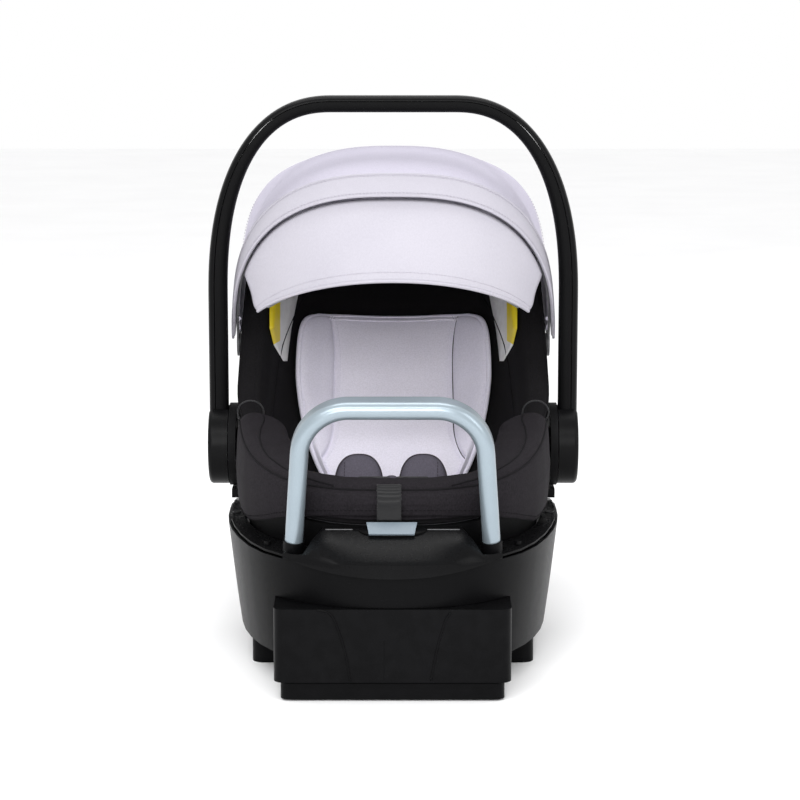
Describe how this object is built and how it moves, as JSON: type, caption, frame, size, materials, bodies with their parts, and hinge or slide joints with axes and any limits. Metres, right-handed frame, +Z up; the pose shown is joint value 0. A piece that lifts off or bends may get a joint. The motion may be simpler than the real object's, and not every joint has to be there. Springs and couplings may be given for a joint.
{
  "type": "infant car seat",
  "caption": "Rear-facing infant carrier with a turning handle, folding canopy and harness, docked on a vehicle base with an anti-rebound bar and recline foot.",
  "frame": {"origin": "on the underside of the base's chassis, straight below the handle's hub axis, in the middle", "axes": "+Z up, +Y towards the head end of the seat, +X across it; the handle's hub axis runs along X at Y = 0"},
  "size_m": [0.4472, 0.706, 0.645],
  "materials": {
    "black_shell": "fine texture",
    "pan_plastic": "matt",
    "foam": "expanded foam",
    "black_fabric": "brushed knit",
    "charcoal_fabric": "heathered weave",
    "lilac_fabric": "heathered knit",
    "band_fabric": "heathered knit",
    "mauve_fabric": "brushed knit",
    "webbing": "woven webbing",
    "black_strap": "coated webbing",
    "buckle_plastic": "satin",
    "red_plastic": "satin",
    "grey_plastic": "satin",
    "steel": "brushed",
    "label_white": "satin film",
    "handle_black": "satin",
    "base_black": "fine texture",
    "grip_rubber": "matt",
    "bar_grey": "satin",
    "lever_blue": "satin metallic",
    "indicator_amber": "clear lens"
  },
  "bodies": {
    "base": {"base_shell": "base_black", "base_deck": "base_black", "front_cowl": "base_black", "base_chassis": "base_black", "grip_pads": "grip_rubber", "base_screws": "steel", "anti_rebound_bar": "bar_grey", "bar_collars": "base_black", "latch_hooks": "steel", "release_link": "steel", "anchor_strap": "webbing", "anchor_connectors": "steel", "level_indicators": "indicator_amber", "deck_pegs": "grey_plastic"},
    "recline_foot": {"recline_foot": "base_black", "foot_tread": "grip_rubber"},
    "release_lever": {"release_lever": "lever_blue"},
    "carrier": {"rocker_shell": "black_shell", "seat_pan": "pan_plastic", "foam_liner": "foam", "seat_cover": "black_fabric", "front_bolster": "charcoal_fabric", "head_insert": "lilac_fabric", "harness_pads": "mauve_fabric", "crotch_pad": "mauve_fabric", "shoulder_straps": "webbing", "hip_straps": "webbing", "crotch_strap": "webbing", "buckle_body": "buckle_plastic", "buckle_tongues": "steel", "chest_clip": "buckle_plastic", "adjuster_strap": "black_strap", "adjuster_housing": "buckle_plastic", "splitter_plate": "steel", "hub_housings": "black_shell", "lock_rings": "steel", "handle_pins": "steel", "canopy_pins": "grey_plastic", "rear_release_housing": "black_shell", "latch_rods": "steel", "belt_guides": "black_shell", "side_labels": "label_white", "canopy_rear": "lilac_fabric"},
    "handle": {"handle_outer": "handle_black", "handle_inner": "black_shell", "handle_hubs": "handle_black"},
    "left_button": {"handle_button_left": "handle_black"},
    "right_button": {"handle_button_right": "handle_black"},
    "canopy": {"canopy_bow": "grey_plastic", "canopy_band": "band_fabric", "canopy_visor": "lilac_fabric"},
    "visor": {"visor_wire": "steel"},
    "rear_release": {"rear_release_lever": "grey_plastic"},
    "buckle_button": {"buckle_button": "red_plastic"},
    "adjuster_button": {"adjuster_button": "grey_plastic"}
  },
  "joints": [
    {"name": "recline_slide", "type": "slide", "parent": "base", "child": "recline_foot", "axis": [0, 0, -1], "range_m": [0, 0.03]},
    {"name": "release_lever_slide", "type": "slide", "parent": "base", "child": "release_lever", "axis": [0, -0.8833, -0.4687], "range_m": [0, 0.012], "stiffness_N_per_m": 200, "springref_m": -0.002},
    {"name": "carrier_lift", "type": "slide", "parent": "base", "child": "carrier", "axis": [0, 0, 1], "range_m": [0, 0.2]},
    {"name": "handle_turn", "type": "hinge", "parent": "carrier", "child": "handle", "pos_m": [0, 0, 0.225], "axis": [-1, 0, 0], "range_deg": [0, 90]},
    {"name": "left_button_press", "type": "slide", "parent": "handle", "child": "left_button", "axis": [1, 0, 0], "range_m": [0, 0.004], "stiffness_N_per_m": 600, "springref_m": -0.001},
    {"name": "right_button_press", "type": "slide", "parent": "handle", "child": "right_button", "axis": [-1, 0, 0], "range_m": [0, 0.004], "stiffness_N_per_m": 600, "springref_m": -0.001},
    {"name": "canopy_fold", "type": "hinge", "parent": "carrier", "child": "canopy", "pos_m": [0, 0.06, 0.34], "axis": [-1, 0, 0], "range_deg": [0, 65], "deforming": ["canopy_rear", "canopy_visor"]},
    {"name": "visor_fold", "type": "hinge", "parent": "canopy", "child": "visor", "pos_m": [0, 0.06, 0.34], "axis": [-1, 0, 0], "range_deg": [0, 20]},
    {"name": "rear_release_slide", "type": "slide", "parent": "carrier", "child": "rear_release", "axis": [0, 0, 1], "range_m": [0, 0.007], "stiffness_N_per_m": 300, "springref_m": -0.003},
    {"name": "buckle_press", "type": "slide", "parent": "carrier", "child": "buckle_button", "axis": [0, 0.5736, -0.8191], "range_m": [0, 0.002], "stiffness_N_per_m": 1000, "springref_m": -0.001},
    {"name": "adjuster_press", "type": "slide", "parent": "carrier", "child": "adjuster_button", "axis": [0, -0.4805, -0.877], "range_m": [0, 0.0025], "stiffness_N_per_m": 1000, "springref_m": -0.001}
  ],
  "couplings": [
    {"joint": "visor_fold", "follows": "canopy_fold", "ratio": 0.3077}
  ]
}
